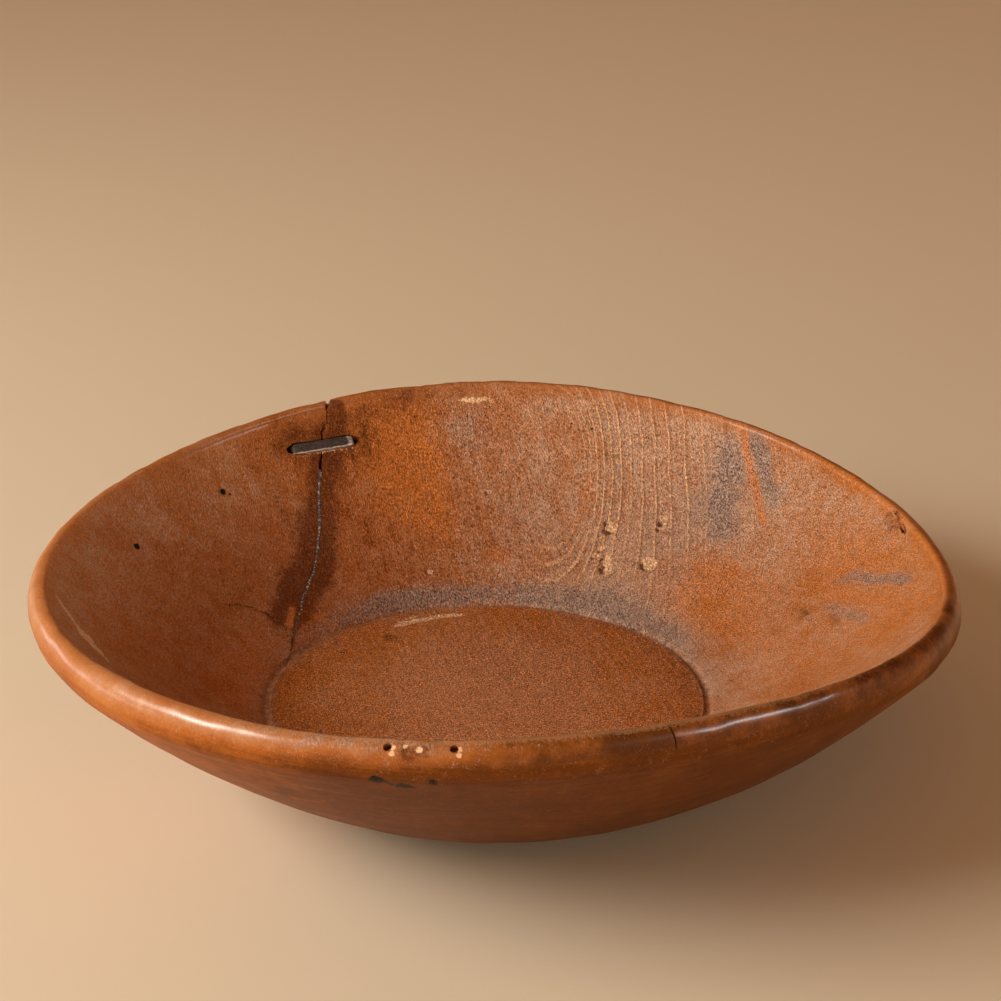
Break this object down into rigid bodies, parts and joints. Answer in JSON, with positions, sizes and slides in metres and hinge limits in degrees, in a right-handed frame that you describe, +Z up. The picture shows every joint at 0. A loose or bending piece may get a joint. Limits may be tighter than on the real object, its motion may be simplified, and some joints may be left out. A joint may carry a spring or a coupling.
{
  "type": "carved wooden bowl",
  "caption": "Wide shallow hand-carved wooden bowl with a warped rounded rim, a raised disc at the bottom and a split wall held by a forged iron staple.",
  "frame": {"origin": "middle of the flat underside that the bowl stands on", "axes": "+Z up out of the bowl's mouth; the wood's grain runs along Y; the split and the staple are at the back left (-X, +Y) and the worn part of the rim is at the front (-Y)"},
  "size_m": [0.4407, 0.4446, 0.1113],
  "materials": {
    "carved_wood": "waxed, worn satin",
    "forged_iron": "dark forged iron, slightly rusted",
    "old_filler": "dull grey-brown hardened wax"
  },
  "bodies": {
    "root": {"bowl_body": "carved_wood", "crack_staple": "forged_iron", "split_filler": "old_filler"}
  },
  "joints": []
}
